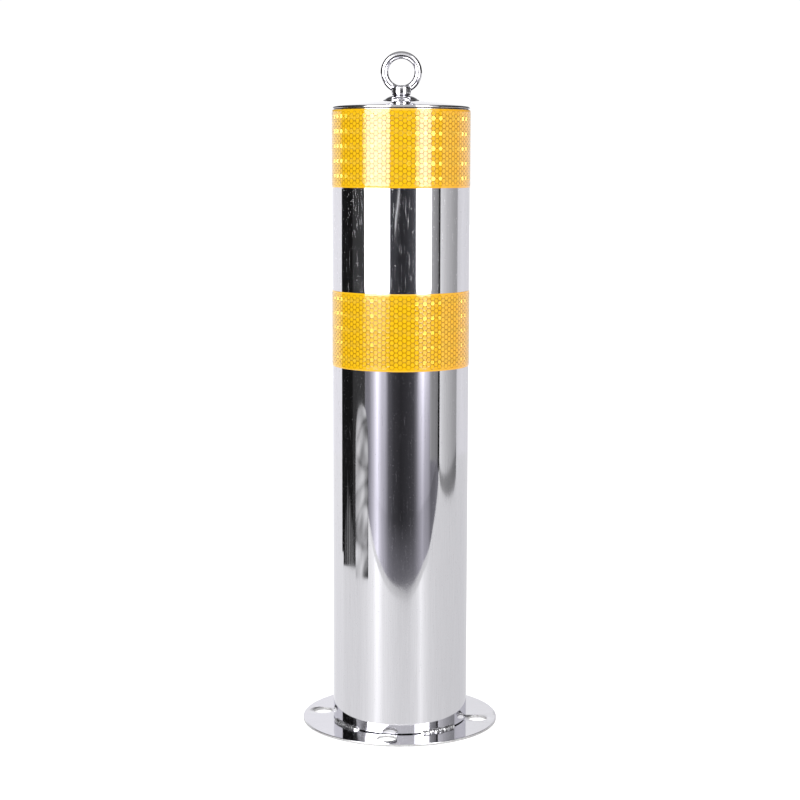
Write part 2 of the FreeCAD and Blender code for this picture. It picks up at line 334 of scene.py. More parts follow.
STEEL = (0.665, 0.66, 0.69, 1)
STEEL_WORN = (0.62, 0.615, 0.645, 1)
STEEL_DULL = (0.57, 0.56, 0.575, 1)
STEEL_EDGE = (0.93, 0.93, 0.95, 1)
CUT_STEEL = (0.56, 0.555, 0.56, 1)
CUT_STEEL_DARK = (0.34, 0.335, 0.34, 1)
MILL_STEEL = (0.44, 0.435, 0.45, 1)
# Near-black tones painted on the cap's spigot ring: a painted shadow in the gap under the cap
JOINT_SHADOW_BLACK = (0.012, 0.012, 0.014, 1)
JOINT_SHADOW_MOTTLE = (0.03, 0.03, 0.032, 1)
WELD_BRIGHT = (0.78, 0.78, 0.80, 1)
WELD_DARK = (0.11, 0.108, 0.115, 1)
WELD_STRAW = (0.30, 0.25, 0.21, 1)
AMBER = (0.76, 0.42, 0.0, 1)
# Deeper orange painted on the film's right side: a painted colour cast of the light
AMBER_PAINTED_CAST = (0.75, 0.355, 0.01, 1)
CELL_WALL = (0.22, 0.105, 0.0, 1)
CELL_LIT = (0.90, 0.55, 0.01, 1)
PRISM_FLASH = (1.0, 0.78, 0.16, 1)
RUBBER = (0.018, 0.018, 0.019, 1)
RUBBER_WORN = (0.045, 0.044, 0.043, 1)
FLOOR_PALE = (0.60, 0.60, 0.60, 1)
FLOOR_SHADE = (0.58, 0.58, 0.58, 1)
WHITE = (1, 1, 1)
WALL_TINT = (0.985, 0.98, 1.0)
FLOOR_TINT = (0.92, 0.90, 1.0)
ROOM_TINT = (0.9, 0.9, 1.0)


def polished_steel(name, stretch, waviness, haze, scratches=0.0):
    """Mirror-polished stainless: faint haze, wavy reflections, fine scratches along the polish.

    stretch shortens the pattern along the polishing direction, waviness is the depth of the
    sheet's unevenness, haze the range of roughness, and scratches the share of a duller second
    gloss, smeared up and down the post, in the polishing lines.
    """
    paint = Paint(name)
    paint.set(Metallic=1.0, Specular_Tint=STEEL_EDGE)
    smear = paint.noise(34.0, stretch, 4.0, 0.6)
    fine = paint.noise(1300.0, stretch, 2.0, 0.6)
    lines = paint.noise(1000.0, tuple(max(s, 0.06) for s in stretch), 2.0, 0.5, 0.3)
    specks = paint.noise(1000.0, (1, 1, 0.6), 1.0)
    tone = paint.maths("ADD", paint.maths("MULTIPLY", smear, 0.5), paint.maths("MULTIPLY", fine, 0.5))
    colour = paint.mix(paint.remap(tone, 0.38, 0.62, 0.0, 1.0), STEEL, STEEL_WORN)
    wavy = paint.bump(paint.noise(16.0, stretch, 1.0), waviness)
    lined = paint.bump(fine, 0.0012 * MM, wavy)
    paint.wire(Base_Color=colour, Roughness=paint.remap(smear, 0.35, 0.70, haze[0], haze[1]), Normal=lined)
    if not scratches:
        return paint.material

    dull = paint.add("ShaderNodeBsdfAnisotropic", {
        "Color": colour, "Roughness": 0.32, "Anisotropy": 0.75, "Rotation": 0.25, "Normal": wavy,
        "Tangent": paint.add("ShaderNodeTangent", direction_type="RADIAL", axis="Z").outputs[0]})
    in_lines = paint.remap(lines, 0.62, 0.78, 0.0, 1.0)
    in_specks = paint.remap(specks, 0.70, 0.76, 0.0, 1.2)
    share = paint.maths("MULTIPLY", paint.maths("ADD", in_lines, in_specks), scratches)
    both = paint.add("ShaderNodeMixShader", {0: share, 1: paint.bsdf.outputs[0], 2: dull.outputs[0]})
    paint.links.new(both.outputs[0], paint.nodes["Material Output"].inputs["Surface"])
    return paint.material


def cut_steel():
    """Sheared or drilled edge: dull, with fine marks through the thickness; its darker colour is also
    painted shade for the walls of the bolt holes.
    """
    paint = Paint("cut_steel")
    paint.set(Metallic=1.0)
    marks = paint.noise(1800.0, (1, 1, 0.1), 2.0)
    colour = paint.mix(paint.remap(marks, 0.35, 0.65, 0, 1), CUT_STEEL, CUT_STEEL_DARK)
    return paint.wire(Base_Color=colour, Roughness=paint.remap(marks, 0.3, 0.7, 0.35, 0.6),
                      Normal=paint.bump(marks, 0.02 * MM))


def weld_metal():
    """Bright weld metal, darker in random patches, with a slight straw oxide tint in others."""
    paint = Paint("weld_metal")
    paint.set(Metallic=1.0)
    patches = paint.noise(420.0, detail=4.0)
    heat = paint.noise(150.0, detail=2.0)
    bright = paint.mix(paint.remap(patches, 0.40, 0.62, 0, 1), WELD_DARK, WELD_BRIGHT)
    colour = paint.mix(paint.remap(heat, 0.55, 0.75, 0, 0.35), bright, WELD_STRAW)
    rough = paint.remap(patches, 0.3, 0.7, 0.36, 0.16)
    return paint.wire(Base_Color=colour, Roughness=rough, Normal=paint.bump(patches, 0.10 * MM))


def reflective_film():
    """Amber prismatic film: a honeycomb of prisms under a clear gloss layer.

    The mesh carries two values: cell, 0 on a cell's wall to 1 at its middle, and facet, the side
    that a mirror prism leans to, -1 or 1, in the rows whose prisms lean sideways.
    """
    paint = Paint("reflective_film")
    paint.set(Metallic=0.0, Roughness=0.5, IOR=1.5, Specular_IOR_Level=0.02,
              Coat_Roughness=0.07, Coat_IOR=1.66)
    cell = paint.add("ShaderNodeAttribute", attribute_name="cell").outputs["Fac"]
    facet = paint.add("ShaderNodeAttribute", attribute_name="facet").outputs["Fac"]
    grain = paint.noise(900.0, detail=2.0)
    # Towards +X, the right side, the amber is painted deeper orange: the light's colour cast on that side,
    # painted in.
    across = paint.add("ShaderNodeSeparateXYZ", {0: paint.place()}).outputs[0]
    tone = paint.maths("ADD", paint.maths("MULTIPLY", paint.noise(26.0, detail=2.0), 0.02), across)
    amber = paint.mix(paint.remap(tone, 0.02, 0.06, 0.0, 1.0), AMBER, AMBER_PAINTED_CAST)
    walled = paint.mix(paint.remap(cell, 0.42, 0.08, 0.0, 1.0), amber, CELL_WALL)
    lit_middle = paint.mix(paint.remap(cell, 0.45, 0.9, 0.0, 0.3), walled, CELL_LIT)
    speckled = paint.maths("ADD", cell, paint.maths("MULTIPLY", grain, 0.5))
    paint.wire(Base_Color=lit_middle, Normal=paint.bump(speckled, 0.01 * MM),
               Coat_Weight=paint.remap(cell, 0.0, 0.42, 0.25, 1.0))

    normal = paint.add("ShaderNodeNewGeometry").outputs["Normal"]
    sideways = paint.vector("CROSS_PRODUCT", {0: (0, 0, 1), 1: normal})
    lean = paint.vector("SCALE", {0: sideways, "Scale": facet})
    leant = paint.vector("NORMALIZE", {0: paint.vector("ADD", {0: normal, 1: lean})})
    mirror = paint.add("ShaderNodeBsdfAnisotropic", {
        "Color": PRISM_FLASH, "Roughness": 0.20, "Normal": leant})
    share = paint.maths("MULTIPLY", paint.maths("ABSOLUTE", facet), 0.16)
    both = paint.add("ShaderNodeMixShader", {0: share, 1: paint.bsdf.outputs[0], 2: mirror.outputs[0]})
    paint.links.new(both.outputs[0], paint.nodes["Material Output"].inputs["Surface"])
    return paint.material


def rubber():
    paint = Paint("seal_rubber")
    grain = paint.noise(1500.0, detail=2.0)
    colour = paint.mix(paint.noise(90.0), RUBBER, RUBBER_WORN)
    return paint.wire(Base_Color=colour, Roughness=paint.remap(grain, 0.3, 0.7, 0.55, 0.8),
                      Normal=paint.bump(grain, 0.03 * MM))


def mill_steel(name, scale=220.0, tone=STEEL_DULL, wear_and_shade_tone=MILL_STEEL):
    """Unpolished sheet or machined steel for what the cap hides; in near-black tones it is the painted
    shadow in the cap's joint.
    """
    paint = Paint(name)
    paint.set(Metallic=1.0)
    grain = paint.noise(scale, (1, 1, 0.2), 3.0)
    colour = paint.mix(paint.remap(grain, 0.3, 0.7, 0, 1), tone, wear_and_shade_tone)
    return paint.wire(Base_Color=colour, Roughness=paint.remap(grain, 0.3, 0.7, 0.24, 0.42),
                      Normal=paint.bump(grain, 0.01 * MM))


# ---- pieces ----------------------------------------------------------------------------

def make_tube(material):
    inner = TUBE_RADIUS - TUBE_WALL
    foot = TUBE_FOOT + FOOT_GAP
    profile = rounded([
        (inner, foot, 0),
        (TUBE_RADIUS, foot, JOINT_EDGE),
        (TUBE_RADIUS, TUBE_TOP - CAP_GAP, TUBE_TOP_EDGE),
        (inner, TUBE_TOP - CAP_GAP, TUBE_TOP_EDGE),
    ])
    bm = turned(profile, 360)
    return piece_from(bm, "polished_tube", material, "post", ["post_tube"])


def make_flange(material, edge_material):
    """Turned plate with rounded rims, drilled for the anchors, its cut edges dull."""
    plate = loose(turned(rounded([
        (DRAIN_HOLE, 0, FLANGE_EDGE),
        (FLANGE_RADIUS, 0, FLANGE_EDGE),
        (FLANGE_RADIUS, FLANGE_TOP, FLANGE_RIM),
        (DRAIN_HOLE, FLANGE_TOP, FLANGE_EDGE),
    ]), 288), "plate")
    drill = bmesh.new()
    for i in range(BOLT_COUNT):
        where = Matrix.Translation(polar(BOLT_CIRCLE, BOLT_PHASE + FULL * i / BOLT_COUNT, FLANGE_TOP / 2))
        bmesh.ops.create_cone(drill, cap_ends=True, segments=96, radius1=BOLT_HOLE, radius2=BOLT_HOLE,
                              depth=4 * FLANGE_TOP, matrix=where)
    drills = loose(drill, "drills")

    def cut(target, tool):
        hole = target.modifiers.new("holes", "BOOLEAN")
        hole.object = tool
        hole.solver = "EXACT"
        rim = target.modifiers.new("rims", "BEVEL")
        rim.width = BOLT_HOLE_EDGE
        rim.segments = 3
        rim.angle_limit = math.radians(50)
        rim.harden_normals = True

    mesh = evaluated([plate, drills], cut)
    flange = piece_of_mesh(mesh, "drilled_flange", material, "post", ["base_flange"], 60.0)
    flange.data.materials.append(edge_material)
    # Steep faces, the cut rim and the bolt-hole walls, take the darker cut steel, partly a painted shade in
    # the holes.
    steep = 0.4
    for face in flange.data.polygons:
        face.material_index = int(abs(face.normal.z) < steep)
    return flange


def make_weld_beads(material):
    """Rippled fillet beads, each with its own wander, between the tube and the flange."""
    bm = bmesh.new()
    along = 150
    across = 14
    for i in range(BOLT_COUNT):
        middle = BOLT_PHASE + FULL * (i + 0.5) / BOLT_COUNT
        length = BEAD_ARC * TUBE_RADIUS
        grid = []
        for u in range(along + 1):
            run = length * u / along
            end = min(run, length - run) / BEAD_LEG
            swell = math.sqrt(min(1.0, end)) if end > 0 else 0.0
            row = []
            for v in range(across + 1):
                turn = math.pi / 2 * v / across
                lag = math.cos(2 * (turn - math.pi / 4))
                wander = RIPPLE_WANDER * noise.noise((run * 300, i * 7.0, 0))
                phase = run / RIPPLE_PITCH + RIPPLE_LAG * lag + wander
                ripple = RIPPLE_HEIGHT * (abs(math.sin(math.pi * phase)) - 0.5)
                lump = LUMP_HEIGHT * noise.noise((run * 260, turn * 1.5, i * 5.0))
                leg = (BEAD_LEG - BEAD_DIP + ripple * lag + lump) * swell
                angle = middle + (run - length / 2) / TUBE_RADIUS
                out = TUBE_RADIUS - BEAD_SINK + leg * math.cos(turn)
                up = FLANGE_TOP - BEAD_SINK + leg * math.sin(turn)
                row.append(bm.verts.new(polar(out, angle, up)))
            grid.append(row)
        for a, b in zip(grid, grid[1:]):
            for v in range(across):
                bm.faces.new([a[v], a[v + 1], b[v + 1], b[v]])
    bmesh.ops.remove_doubles(bm, verts=bm.verts, dist=0.002 * MM)
    return piece_from(bm, "rippled_weld_beads", material, "post", ["base_weld_beads"], 80.0)


def film_radius(run, length):
    """Radius of the film's face along its wrap: it climbs over its own start at the end."""
    climb = smooth_step((run - (length - FILM_OVERLAP - FILM_RAMP)) / FILM_RAMP)
    return TUBE_RADIUS + FILM + climb * FILM


class Wrap:
    """Film wrapped round the tube, laid out by the run along it and the height."""

    def __init__(self, low, high):
        self.bottom = low.z
        self.top = high.z
        self.length = FULL * (TUBE_RADIUS + FILM) + FILM_OVERLAP
        self.bm = bmesh.new()
        self.cell = self.bm.verts.layers.float.new("cell")
        self.facet = self.bm.verts.layers.float.new("facet")

    def vertex(self, run, z, lift, cell, facet=0.0):
        """Vertex lifted off the film's face; cell and facet are what the film's material reads."""
        radius = film_radius(run, self.length) + lift
        v = self.bm.verts.new(polar(radius, FILM_SEAM + run / (TUBE_RADIUS + FILM), z))
        v[self.cell] = cell
        v[self.facet] = facet
        return v

    def strip(self, steps=420):
        """The film itself, with rolled edges."""
        low, high = self.bottom, self.top
        section = [(low, -FILM), (low, -FILM_EDGE), (low + FILM_EDGE, 0), (low + FILM_MARGIN, 0),
                   (high - FILM_MARGIN, 0), (high - FILM_EDGE, 0), (high, -FILM_EDGE), (high, -FILM)]
        rows = [[self.vertex(self.length * k / steps, z, lift, STRIP_CELL) for z, lift in section]
                for k in range(steps + 1)]
        for a, b in zip(rows, rows[1:]):
            for i in range(len(section) - 1):
                self.bm.faces.new([a[i], b[i], b[i + 1], a[i + 1]])
        self.bm.faces.new(rows[0])
        self.bm.faces.new(rows[-1])

    def prism(self, run, z, side, leaning):
        """One hexagonal cell: a raised wall round a shallow prism that leans -1, 0 or 1."""
        stretch = CELL_PITCH / (side * math.sqrt(3))
        turns = [k * math.pi / 3 for k in range(6)]
        corners = [(side * math.cos(turn), side * stretch * math.sin(turn)) for turn in turns]
        rings = []
        for size, height, cell in CELL_RINGS:
            facet = leaning if cell > 0 else 0.0
            rings.append([self.vertex(run + x * size, z + y * size, CELL_RELIEF * height, cell, facet)
                          for x, y in corners])
        middle = self.vertex(run, z, CELL_RELIEF * CELL_MIDDLE_HEIGHT, 1.0, leaning)
        for k in range(6):
            n = (k + 1) % 6
            for outer, inner in zip(rings, rings[1:]):
                self.bm.faces.new([outer[k], outer[n], inner[n], inner[k]])
            self.bm.faces.new([rings[-1][k], rings[-1][n], middle])

    def honeycomb(self):
        """Cells over the whole strip; in one row of each tile they lean left and right by turns."""
        columns = 2 * round(self.length / (CELL_PITCH * math.sqrt(3) / 2) / 2)
        column_step = (self.length - 2 * FILM_MARGIN) / columns
        rows = math.floor((self.top - self.bottom - 2 * FILM_MARGIN) / CELL_PITCH)
        first = (self.bottom + self.top) / 2 - (rows - 1) * CELL_PITCH / 2
        for column in range(columns):
            odd = column % 2
            for row in range(rows - odd):
                leaning = 0.0
                if row % CELLS_PER_TILE == 1:
                    leaning = 1.0 if odd else -1.0
                run = FILM_MARGIN + column_step * (column + 0.5)
                self.prism(run, first + (row + odd / 2) * CELL_PITCH, column_step / 1.5, leaning)


def make_band(name, material):
    """Film wrapped round the tube: a smooth strip, and on it a honeycomb of prism cells."""
    wrap = Wrap(*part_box(name))
    wrap.strip()
    wrap.honeycomb()
    bmesh.ops.remove_doubles(wrap.bm, verts=wrap.bm.verts, dist=0.01 * MM)
    return piece_from(wrap.bm, name + "_honeycomb", material, "post", [name], 60.0)


def cap_profile(offset):
    """The cap's skin moved inwards by offset, from its rim up to the land's edge."""
    shoulder_r = TUBE_RADIUS - CAP_SHOULDER
    shoulder_z = TUBE_TOP + CAP_RIM
    reach = CAP_DOME - CAP_SHOULDER
    centre_z = shoulder_z - math.sqrt(reach ** 2 - shoulder_r ** 2)
    lean = math.acos(shoulder_r / reach)
    land_z = CAP_TOP - offset
    sphere = CAP_DOME - offset
    end = math.asin((land_z - centre_z) / sphere)
    shoulder = arc_points((shoulder_r, shoulder_z), CAP_SHOULDER - offset, 0.0, lean, 10)
    dome = arc_points((0, centre_z), sphere, lean, end, 40)
    return shoulder + dome[1:]


def make_cap(material):
    outside = cap_profile(0.0)
    inside = cap_profile(CAP_SHEET)
    foot = TUBE_TOP
    inset = 0.3 * JOINT_EDGE
    rim = [(TUBE_RADIUS - CAP_SHEET, foot), (TUBE_RADIUS - JOINT_EDGE, foot),
           (TUBE_RADIUS - inset, foot + inset), (TUBE_RADIUS, foot + JOINT_EDGE)]
    land = [(CAP_LAND - LAND_EDGE, CAP_TOP), (EYE_HOLE, CAP_TOP), (EYE_HOLE, CAP_TOP - CAP_SHEET)]
    bm = turned(rim + outside + land + list(reversed(inside)), 360)
    return piece_from(bm, "domed_cap", material, "post", ["top_cap"], 50.0)


def make_rosette(material):
    """Bell-shaped cup washer with a rolled rim."""
    rim_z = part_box("eye_rosette")[0].z
    roll = (ROSETTE_RADIUS - ROSETTE_ROLL, rim_z + ROSETTE_ROLL)
    drop = SEAT - rim_z - ROSETTE_RIM
    outside = []
    steps = 18
    for i in range(steps + 1):
        share = i / steps
        bell = ROSETTE_BELL * share ** 2 + (1 - ROSETTE_BELL) * share
        outside.append((ROSETTE_SEAT + (roll[0] - ROSETTE_SEAT) * share, SEAT - drop * bell))
    rim = arc_points(roll, ROSETTE_ROLL, math.radians(60), -math.pi / 2, 10)
    seat = [(ROSETTE_HOLE, SEAT), (ROSETTE_SEAT - ROSETTE_ROLL, SEAT)]
    inside = [(ROSETTE_RADIUS - ROSETTE_LIP, rim_z), (ROSETTE_SEAT, SEAT - ROSETTE_SHEET),
              (ROSETTE_HOLE, SEAT - ROSETTE_SHEET)]
    bm = turned(seat + outside + rim + inside, 160)
    return piece_from(bm, "cup_washer", material, "rosette", ["eye_rosette"], 50.0)


def ring_bar(major, minor, centre, around=160, across=48):
    """Torus in the XZ plane."""
    bm = bmesh.new()
    rows = []
    for u in range(around):
        a = FULL * u / around
        row = []
        for v in range(across):
            b = FULL * v / across
            r = major + minor * math.cos(b)
            out = Vector((r * math.cos(a), minor * math.sin(b), r * math.sin(a)))
            row.append(bm.verts.new(centre + out))
        rows.append(row)
    for u in range(around):
        for v in range(across):
            a, b = rows[u], rows[(u + 1) % around]
            w = (v + 1) % across
            bm.faces.new([a[v], b[v], b[w], a[w]])
    return bm


def forging_distance(p):
    """Signed distance, in millimetres, to the ring and the collar blended into one forging."""
    middle = (EYE_OUTER + EYE_INNER) / 2 / MM
    bar = (EYE_OUTER - EYE_INNER) / 2 / MM
    corner = COLLAR_ROUND / MM
    blend = FORGE_BLEND / MM
    x, y, z = p[:, 0], p[:, 1], p[:, 2]
    ring = np.hypot(np.hypot(x, z - (EYE_TOP - EYE_OUTER) / MM) - middle, y) - bar
    half = COLLAR_HEIGHT / 2 / MM
    side = np.hypot(x, y) - (COLLAR_RADIUS / MM - corner)
    end = np.abs(z - SEAT / MM - half) - (half - corner)
    outside = np.hypot(np.maximum(side, 0), np.maximum(end, 0))
    collar = outside + np.minimum(np.maximum(side, end), 0) - corner
    share = np.clip(0.5 + 0.5 * (ring - collar) / blend, 0, 1)
    return ring * (1 - share) + collar * share - blend * share * (1 - share)


def forged_eye():
    """Ring and collar flowing into each other: a coarse union, then moved onto the exact surface.

    Returns the mesh and the exact surface's normal at each of its vertices.
    """
    unit = 1 / MM
    middle = (EYE_OUTER + EYE_INNER) / 2 * unit
    bar = (EYE_OUTER - EYE_INNER) / 2 * unit
    seat = SEAT * unit
    shoulder = (SEAT + COLLAR_HEIGHT) * unit
    wide = COLLAR_RADIUS * unit
    corner = COLLAR_ROUND * unit
    ring = loose(ring_bar(middle, bar, Vector((0, 0, (EYE_TOP - EYE_OUTER) * unit))), "ring")
    collar = loose(turned(rounded([
        (0, seat, 0),
        (wide, seat, corner),
        (wide, shoulder, corner),
        (0, shoulder, 0),
    ], 8), 128, closed=False), "collar")

    def forge(target, other):
        union = target.modifiers.new("union", "BOOLEAN")
        union.operation = "UNION"
        union.object = other
        voxels = target.modifiers.new("voxels", "REMESH")
        voxels.mode = "VOXEL"
        voxels.voxel_size = 0.26
        relax = target.modifiers.new("relax", "SMOOTH")
        relax.factor = 0.5
        relax.iterations = 10

    mesh = evaluated([ring, collar], forge)
    flat = np.empty(3 * len(mesh.vertices))
    mesh.vertices.foreach_get("co", flat)
    points = flat.reshape(-1, 3)
    step = 0.01
    least_slope = 0.2
    for _ in range(4):
        away = forging_distance(points)
        slope = np.empty_like(points)
        for axis in range(3):
            nudge = np.zeros(3)
            nudge[axis] = step
            slope[:, axis] = forging_distance(points + nudge) - forging_distance(points - nudge)
        slope /= 2 * step
        points = points - slope * (away / np.maximum((slope ** 2).sum(axis=1), least_slope))[:, None]
    mesh.vertices.foreach_set("co", (points * MM).ravel())
    mesh.update()
    return mesh, slope / np.linalg.norm(slope, axis=1)[:, None]


def threaded_shank():
    """Shank with a right-hand helical ridge, its tip chamfered."""
    bm = bmesh.new()
    root = THREAD_RADIUS - THREAD_DEPTH
    top = SEAT + SHANK_SINK
    thread_end = SEAT - SHANK_PLAIN
    around = 56
    step = THREAD_PITCH / 12
    rows = []
    count = math.ceil((top - SHANK_TIP) / step)
    for k in range(count + 1):
        z = min(top, SHANK_TIP + k * step)
        row = []
        for j in range(around):
            angle = FULL * j / around
            phase = ((z - NUT_TOP) / THREAD_PITCH - j / around + 0.5) % 1.0 - 0.5
            ridge = min(1.0, max(0.0, (THREAD_FOOT - abs(phase)) / THREAD_FLANK))
            fade = min(1.0, max(0.0, (thread_end - z) / THREAD_PITCH))
            chamfer = THREAD_RADIUS - SHANK_CHAMFER + (z - SHANK_TIP)
            r = min(root + THREAD_DEPTH * ridge * fade, chamfer)
            row.append(bm.verts.new(polar(r, angle, z)))
        rows.append(row)
    for a, b in zip(rows, rows[1:]):
        for j in range(around):
            n = (j + 1) % around
            bm.faces.new([a[j], a[n], b[n], b[j]])
    bm.faces.new(list(reversed(rows[0])))
    bm.faces.new(rows[-1])
    return bm


def make_eye(material):
    mesh, normals = forged_eye()
    forging = piece_of_mesh(mesh, "forged_eye", material, "eye", ["eye_bolt"], 180.0)
    forging.data.normals_split_custom_set_from_vertices(normals)
    piece_from(threaded_shank(), "threaded_shank", material, "eye", [], 60.0)


# ---- studio ----------------------------------------------------------------------------

# The cards below glow and are seen only in reflections: they stand in for the lit room, and their brightness
# is painted light and shade.
def glow(name, tint=WHITE):
    """Light of the tint, as strong as the mesh's own value named level."""
    paint = Paint(name)
    level = paint.add("ShaderNodeAttribute", attribute_name="level").outputs["Fac"]
    light = paint.add("ShaderNodeEmission", {"Color": (*tint, 1), "Strength": level})
    paint.links.new(light.outputs[0], paint.nodes["Material Output"].inputs["Surface"])
    return paint.material


def only_in_reflections(o):
    o.visible_camera = False
    o.visible_diffuse = False
    o.visible_shadow = False
    o.visible_transmission = False


def card_from(bm, name, tint=WHITE):
    card = loose(bm, name)
    card.data.materials.append(glow(name + "_light", tint))
    bpy.context.scene.collection.objects.link(card)
    only_in_reflections(card)
    return card


def around(degrees, distance, z):
    """A point that the tube mirrors to the front.

    The mirrored direction is degrees from the front towards +X, and the distance is from the
    spot on the tube that shows it.
    """
    a = math.radians(degrees)
    spot = Vector((math.sin(a / 2), -math.cos(a / 2), 0)) * TUBE_RADIUS
    return spot + Vector((distance * math.sin(a), -distance * math.cos(a), z))


def spread(stops, step):
    """The stops with evenly graded ones between them, about step degrees apart."""
    columns = []
    for now, after in zip(stops, stops[1:]):
        parts = max(1, round(abs(after[0] - now[0]) / step))
        for k in range(parts):
            columns.append(tuple(a + (b - a) * k / parts for a, b in zip(now, after)))
    return columns + [stops[-1]]


def sheet(name, rows, tint=WHITE):
    """Card of a grid of (point, brightness)."""
    bm = bmesh.new()
    level = bm.verts.layers.float.new("level")
    grid = []
    for row in rows:
        verts = []
        for point, light in row:
            v = bm.verts.new(point)
            v[level] = light
            verts.append(v)
        grid.append(verts)
    for a, b in zip(grid, grid[1:]):
        for i in range(len(a) - 1):
            bm.faces.new([a[i], b[i], b[i + 1], a[i + 1]])
    bmesh.ops.remove_doubles(bm, verts=bm.verts, dist=0.01 * MM)
    return card_from(bm, name, tint)


def panel(name, distance, low, high, stops, tint=WHITE, bulge=0.0, rise=0.0):
    """Upright curved card round the object, seen only in reflections.

    stops are pairs of an angle from the front, in degrees, and the card's brightness there.
    bulge brings its middle nearer, and rise lifts its top edge towards the last stop.
    """
    first = stops[0][0]
    width = stops[-1][0] - first
    rows = []
    for degrees, light in spread(stops, 3.0):
        share = (degrees - first) / width
        reach = distance - bulge * math.sqrt(max(0.0, 1 - (2 * share - 1) ** 2))
        rows.append([(around(degrees, reach, z), light) for z in (low, high + rise * share)])
    return sheet(name, rows, tint)


def fan(name, z, near, far, stops, tint=WHITE):
    """Flat card in front of the object; near and far give its reach in each direction.

    stops hold an angle from the front, in degrees, and the brightness at the near and far ends.
    """
    rows = []
    for degrees, near_light, far_light in spread(stops, 2.0):
        rows.append([(around(degrees, near(degrees), z), near_light),
                     (around(degrees, far(degrees), z), far_light)])
    return sheet(name, rows, tint)


def leaning_strip(name, distance, foot, head, half_width, light):
    """Narrow straight card between two (degrees, z) points."""
    rows = []
    for degrees, z in (foot, head):
        rows.append([(around(degrees + side, distance, z), light) for side in (-half_width, half_width)])
    return sheet(name, rows)


def crumpled_paper(name, distance, start, end, height):
    """Pale crumpled sheet that stands at the side, rounded at the top, its folds climbing aslant."""
    across = 18
    up = 90
    folds_per_metre = 24
    slant = 0.5
    crease_width = 0.10
    rim_width = 0.08
    rows = []
    for j in range(up + 1):
        z = height * j / up
        width = math.sqrt(max(0.0, 1 - (j / up) ** 12))
        row = []
        for i in range(across + 1):
            share = (i / across - 0.5) * width + 0.5
            climb = z * folds_per_metre - share * slant
            fold = noise.noise((climb, share * 1.1, 3.0))
            fold += 0.5 * noise.noise((climb * 2.2, share * 3.0, 9.0))
            ridge = abs(noise.noise((climb * 0.9, share * 0.8, 5.0)))
            crease = max(0.0, 1 - ridge / crease_width)
            rim = max(0.0, 1 - (1 - share) / rim_width)
            # The folds' light and the darkening in the creases and along the right edge are painted light
            # and shade on the sheet.
            light = 0.64 + 0.70 * fold - 0.42 * crease - 0.35 * rim
            row.append((around(start + (end - start) * share, distance, z), max(0.05, light)))
        rows.append(row)
    return sheet(name, rows)


def flag_feet(distance):
    """Folds of the black cloth's hem, lit from the side: an angle, a brightness and a height each."""
    folds = ((-114, 0.012, 0.03), (-110, 0.03, 0.05), (-107, 0.17, 0.066), (-104.5, 0.03, 0.078),
             (-102, 0.26, 0.100), (-99.5, 0.05, 0.096), (-97, 0.30, 0.084), (-94, 0.08, 0.080),
             (-91, 0.20, 0.060), (-88, 0.10, 0.052), (-84, 0.04, 0.045))
    fading = ((0.0, 0.6), (0.15, 1.0), (0.7, 0.8), (1.0, 0.15))
    rows = []
    for degrees, light, head in folds:
        rows.append([(around(degrees, distance, head * share), light * fade) for share, fade in fading])
    return sheet("flag_feet", rows)


def slab(low, high, z):
    """Flat rectangle at height z."""
    bm = bmesh.new()
    corners = [(low[0], low[1]), (high[0], low[1]), (high[0], high[1]), (low[0], high[1])]
    bm.faces.new([bm.verts.new((x, y, z)) for x, y in corners])
    return bm


def lit(bm, light):
    """The mesh with one brightness all over."""
    level = bm.verts.layers.float.new("level")
    for v in bm.verts:
        v[level] = light
    return bm


def table_edge(degrees):
    """Distance to the table's front edge, which is a little askew; its right corner comes nearer."""
    stops = ((-180, 1.0), (-50, 1.0), (-33, 1.03), (-10, 1.02), (0, 1.012), (6, 0.995), (12, 0.965),
             (30, 0.965), (40, 0.955), (51, 0.88), (58, 0.875), (63, 0.85), (67, 0.84), (80, 0.97),
             (180, 1.0))
    share = np.interp(degrees, [angle for angle, share in stops], [share for angle, share in stops])
    spot = TUBE_RADIUS * math.cos(math.radians(degrees / 2))
    return float(share) * (TABLE_FRONT - spot) / math.cos(math.radians(degrees))


def table_side(degrees):
    """Distance to the table's edge all round."""
    sideways = 80
    return min(TABLE_REACH, table_edge(degrees)) if abs(degrees) < sideways else TABLE_REACH


def make_room():
    """White surroundings and a plain pale floor."""
    world = bpy.data.worlds.new("studio")
    world.use_nodes = True
    world.node_tree.nodes["Background"].inputs["Color"].default_value = (*WHITE, 1)
    world.node_tree.nodes["Background"].inputs["Strength"].default_value = 1.04
    bpy.context.scene.world = world
    bpy.context.scene.view_settings.view_transform = "Standard"

    paper = Paint("pale_floor")
    paper.set(Roughness=0.9, Emission_Color=(*WHITE, 1), Emission_Strength=0.56, Specular_IOR_Level=0.0)
    floor = loose(slab((-12, -12), (12, 12), 0.0), "floor")
    floor.data.materials.append(paper.wire(Base_Color=paper.mix(paper.noise(6.0), FLOOR_PALE, FLOOR_SHADE)))
    bpy.context.scene.collection.objects.link(floor)


